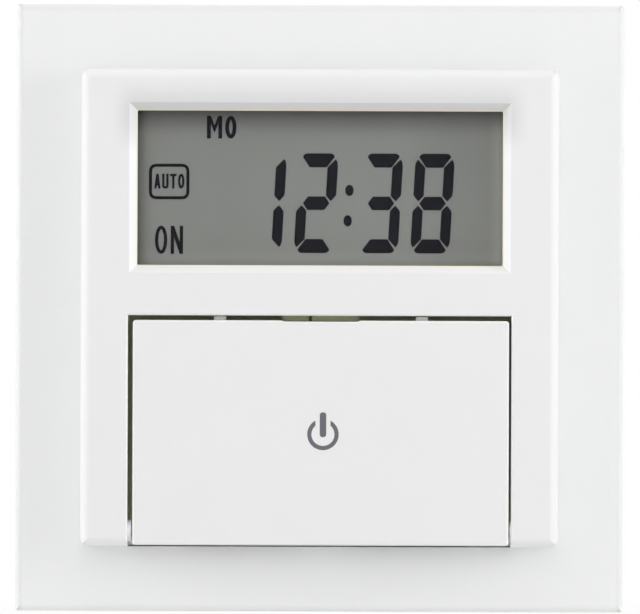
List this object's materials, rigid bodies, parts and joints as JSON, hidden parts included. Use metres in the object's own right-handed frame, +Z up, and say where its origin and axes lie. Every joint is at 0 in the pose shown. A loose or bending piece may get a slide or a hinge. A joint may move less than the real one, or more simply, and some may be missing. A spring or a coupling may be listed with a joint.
{
  "type": "timer light switch",
  "caption": "Square flush-mounted timer light switch with a display window over a hinged flap that covers its programming keys, and a wall-box insert behind it.",
  "frame": {"origin": "centre of the box screw pattern, on the wall's surface", "axes": "+X to the right seen from the front, +Y into the wall, +Z up"},
  "size_m": [0.081, 0.04, 0.081],
  "materials": {
    "white_plastic": "satin moulded, signal white",
    "deck_plastic": "fine matt moulded, pale olive",
    "inner_plastic": "matt moulded",
    "key_plastic": "matt moulded grey",
    "plunger_plastic": "moulded",
    "black_plastic": "moulded",
    "clear_pane": "clear polished",
    "display_glass": "polarised, grey",
    "rear_glass": "polarised, grey",
    "reflector_film": "diffuse",
    "elastomer": "layered",
    "circuit_board": "solder resist",
    "can_metal": "bright can",
    "clip_steel": "spring sheet",
    "pin_brass": "gold flashed",
    "hinge_steel": "drawn wire",
    "ring_steel": "zinc plated sheet",
    "screw_steel": "zinc plated",
    "claw_steel": "zinc plated sheet",
    "insert_plastic": "moulded, dark grey",
    "relay_plastic": "moulded case",
    "film_plastic": "potted box",
    "sleeve_plastic": "shrink sleeve",
    "fuse_plastic": "moulded",
    "terminal_brass": "machined"
  },
  "bodies": {
    "switch_body": {"cover_frame": "white_plastic", "central_plate": "white_plastic", "display_pane": "clear_pane", "lcd_front_glass": "display_glass", "lcd_rear_glass": "rear_glass", "lcd_reflector": "reflector_film", "lcd_holder": "inner_plastic", "contact_strips": "elastomer", "key_deck": "deck_plastic", "tact_housings": "black_plastic", "control_board": "circuit_board", "microcontroller": "black_plastic", "crystal": "can_metal", "backup_cell": "can_metal", "cell_clip": "clip_steel", "header_pins": "pin_brass", "header_strip": "black_plastic", "module_back": "inner_plastic", "module_screws": "screw_steel", "support_ring": "ring_steel", "ring_screws": "screw_steel", "insert_housing": "insert_plastic", "insert_cover": "insert_plastic", "socket_strip": "black_plastic", "power_board": "circuit_board", "relay": "relay_plastic", "film_capacitor": "film_plastic", "smoothing_capacitor": "sleeve_plastic", "fuse": "fuse_plastic", "terminal_block": "insert_plastic", "terminal_cages": "terminal_brass", "terminal_screws": "screw_steel"},
    "hinge_rod": {"hinge_rod": "hinge_steel"},
    "flap": {"flap": "white_plastic"},
    "power_key": {"power_key": "key_plastic", "power_plunger": "plunger_plastic"},
    "reset_pin": {"reset_pin": "key_plastic", "reset_plunger": "plunger_plastic"},
    "day_key": {"day_key": "key_plastic", "day_plunger": "plunger_plastic"},
    "hour_key": {"hour_key": "key_plastic", "hour_plunger": "plunger_plastic"},
    "minute_key": {"minute_key": "key_plastic", "minute_plunger": "plunger_plastic"},
    "program_key": {"program_key": "key_plastic", "program_plunger": "plunger_plastic"},
    "mode_key": {"mode_key": "key_plastic", "mode_plunger": "plunger_plastic"},
    "enter_key": {"enter_key": "key_plastic", "enter_plunger": "plunger_plastic"},
    "left_claw": {"left_claw": "claw_steel"},
    "left_claw_screw": {"left_claw_screw": "screw_steel"},
    "left_claw_nut": {"left_claw_nut": "claw_steel"},
    "right_claw": {"right_claw": "claw_steel"},
    "right_claw_screw": {"right_claw_screw": "screw_steel"},
    "right_claw_nut": {"right_claw_nut": "claw_steel"}
  },
  "joints": [
    {"name": "flap_press", "type": "hinge", "parent": "switch_body", "child": "hinge_rod", "pos_m": [0, -0.0114, -0.02965], "axis": [-1, 0, 0], "range_deg": [0, 1.06]},
    {"name": "flap_open", "type": "hinge", "parent": "hinge_rod", "child": "flap", "pos_m": [0, -0.0114, -0.02965], "axis": [1, 0, 0], "range_deg": [0, 170]},
    {"name": "power_key_press", "type": "slide", "parent": "switch_body", "child": "power_key", "axis": [0, 1, 0], "range_m": [0, 0.00024], "stiffness_N_per_m": 4000},
    {"name": "reset_pin_press", "type": "slide", "parent": "switch_body", "child": "reset_pin", "axis": [0, 1, 0], "range_m": [0, 0.00025], "stiffness_N_per_m": 4000},
    {"name": "day_key_press", "type": "slide", "parent": "switch_body", "child": "day_key", "axis": [0, 1, 0], "range_m": [0, 0.00025], "stiffness_N_per_m": 4000},
    {"name": "hour_key_press", "type": "slide", "parent": "switch_body", "child": "hour_key", "axis": [0, 1, 0], "range_m": [0, 0.00025], "stiffness_N_per_m": 4000},
    {"name": "minute_key_press", "type": "slide", "parent": "switch_body", "child": "minute_key", "axis": [0, 1, 0], "range_m": [0, 0.00025], "stiffness_N_per_m": 4000},
    {"name": "program_key_press", "type": "slide", "parent": "switch_body", "child": "program_key", "axis": [0, 1, 0], "range_m": [0, 0.00025], "stiffness_N_per_m": 4000},
    {"name": "mode_key_press", "type": "slide", "parent": "switch_body", "child": "mode_key", "axis": [0, 1, 0], "range_m": [0, 0.00025], "stiffness_N_per_m": 4000},
    {"name": "enter_key_press", "type": "slide", "parent": "switch_body", "child": "enter_key", "axis": [0, 1, 0], "range_m": [0, 0.00025], "stiffness_N_per_m": 4000},
    {"name": "left_claw_screw_turn", "type": "hinge", "parent": "switch_body", "child": "left_claw_screw", "pos_m": [-0.025, 0, 0], "axis": [0, 1, 0], "range_deg": [0, 991]},
    {"name": "left_claw_nut_slide", "type": "slide", "parent": "switch_body", "child": "left_claw_nut", "axis": [0, -1, 0], "range_m": [0, 0.00137]},
    {"name": "left_claw_swing", "type": "hinge", "parent": "switch_body", "child": "left_claw", "pos_m": [-0.021, 0.0045, 0], "axis": [0, 0, 1], "range_deg": [0, 20.5]},
    {"name": "right_claw_screw_turn", "type": "hinge", "parent": "switch_body", "child": "right_claw_screw", "pos_m": [0.025, 0, 0], "axis": [0, 1, 0], "range_deg": [0, 991]},
    {"name": "right_claw_nut_slide", "type": "slide", "parent": "switch_body", "child": "right_claw_nut", "axis": [0, -1, 0], "range_m": [0, 0.00137]},
    {"name": "right_claw_swing", "type": "hinge", "parent": "switch_body", "child": "right_claw", "pos_m": [0.021, 0.0045, 0], "axis": [0, 0, -1], "range_deg": [0, 20.5]}
  ],
  "couplings": [
    {"joint": "flap_press", "follows": "power_key_press", "rad_per_m": 76.453},
    {"joint": "left_claw_screw_turn", "follows": "left_claw_nut_slide", "rad_per_m": 12566},
    {"joint": "left_claw_swing", "follows": "left_claw_nut_slide", "rad_per_m": 253.87},
    {"joint": "right_claw_screw_turn", "follows": "right_claw_nut_slide", "rad_per_m": 12566},
    {"joint": "right_claw_swing", "follows": "right_claw_nut_slide", "rad_per_m": 253.87}
  ]
}
